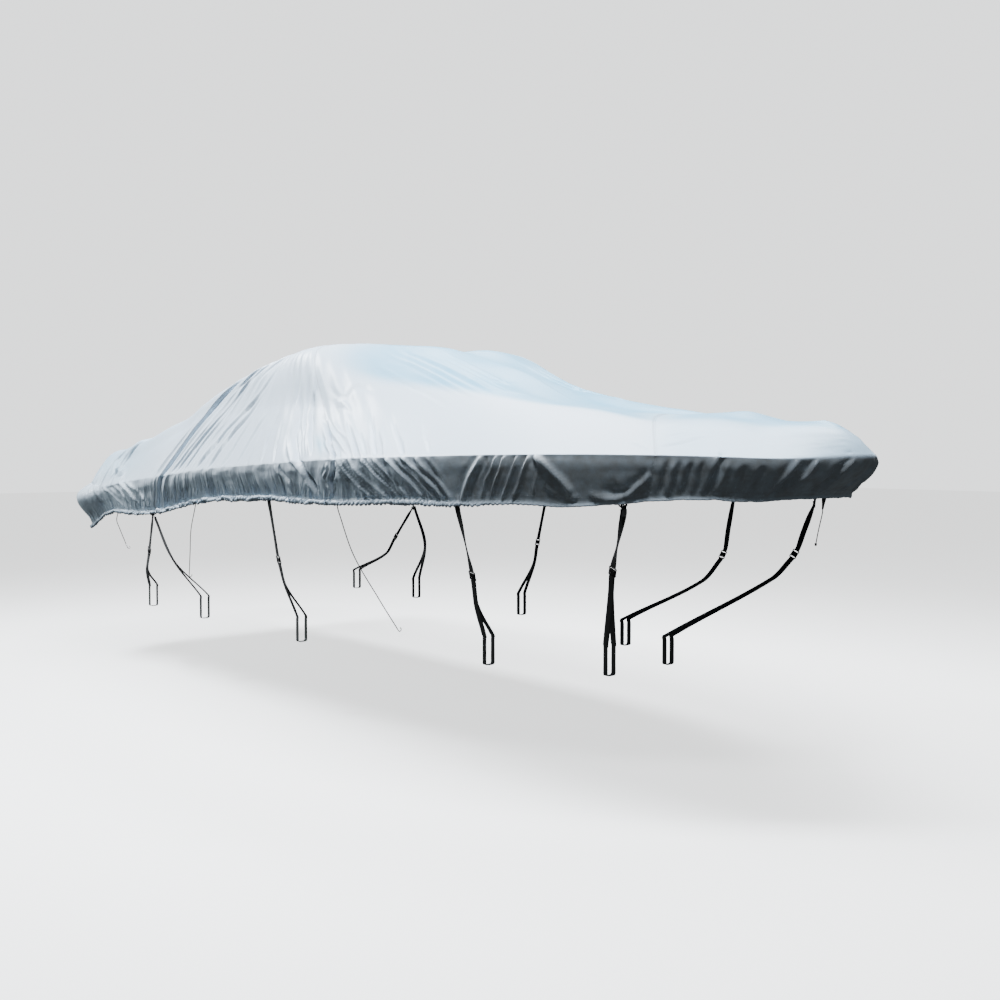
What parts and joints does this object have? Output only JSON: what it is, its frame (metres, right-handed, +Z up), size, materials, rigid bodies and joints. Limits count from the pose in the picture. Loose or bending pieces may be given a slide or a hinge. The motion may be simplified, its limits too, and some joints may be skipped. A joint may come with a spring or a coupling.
{
  "type": "boat cover with tie-down straps",
  "caption": "Fitted cloth cover for a trailered bowrider boat, with a skirt over the gunwales, webbing straps that loop round the trailer rails and thin tie cords with hooks.",
  "frame": {"origin": "under the crown of the cover, on the inside of the cloth above the top edge of the boat's windscreen, on the centreline", "axes": "+X forward to the bow, +Y to port, +Z up"},
  "size_m": [6.6485, 2.526, 1.869],
  "materials": {
    "cloth": "polyurethane coated woven polyester, pale blue-grey, slightly shiny where it is stretched",
    "webbing": "black woven polypropylene webbing, dull",
    "buckle_plastic": "black moulded acetal",
    "pale_plastic": "off-white moulded nylon",
    "zinc_steel": "zinc plated bent wire",
    "pale_cord": "off-white braided cord",
    "black_cord": "black braided elastic cord"
  },
  "bodies": {
    "root": {"cover_stern_panel": "cloth", "cover_aft_panel": "cloth", "cover_fore_panel": "cloth", "cover_bow_panel": "cloth", "strap_quarter_starboard_knot": "webbing", "strap_quarter_starboard_upper": "webbing", "strap_quarter_starboard_buckle": "buckle_plastic", "strap_quarter_starboard_lower": "webbing", "strap_quarter_starboard_leg": "webbing", "strap_aft_starboard_upper": "webbing", "strap_aft_starboard_buckle": "buckle_plastic", "strap_aft_starboard_lower": "webbing", "strap_mid_starboard_upper": "webbing", "strap_mid_starboard_buckle": "buckle_plastic", "strap_mid_starboard_lower": "webbing", "strap_fore_starboard_knot": "webbing", "strap_fore_starboard_upper": "webbing", "strap_fore_starboard_buckle": "buckle_plastic", "strap_fore_starboard_lower": "webbing", "strap_quarter_port_knot": "webbing", "strap_quarter_port_upper": "webbing", "strap_quarter_port_buckle": "buckle_plastic", "strap_quarter_port_lower": "webbing", "strap_quarter_port_leg": "webbing", "strap_aft_port_upper": "webbing", "strap_aft_port_buckle": "buckle_plastic", "strap_aft_port_lower": "webbing", "strap_mid_port_upper": "webbing", "strap_mid_port_buckle": "buckle_plastic", "strap_mid_port_lower": "webbing", "strap_fore_port_knot": "webbing", "strap_fore_port_upper": "webbing", "strap_fore_port_buckle": "buckle_plastic", "strap_fore_port_lower": "webbing", "tie_stern_cord": "black_cord", "tie_stern_hook": "zinc_steel", "tie_light_cord": "pale_cord", "tie_light_hook": "pale_plastic", "tie_middle_hem_hook": "zinc_steel", "tie_middle_cord": "black_cord", "tie_middle_hook": "zinc_steel", "bow_tab": "webbing", "bow_cord": "black_cord"}
  },
  "joints": []
}
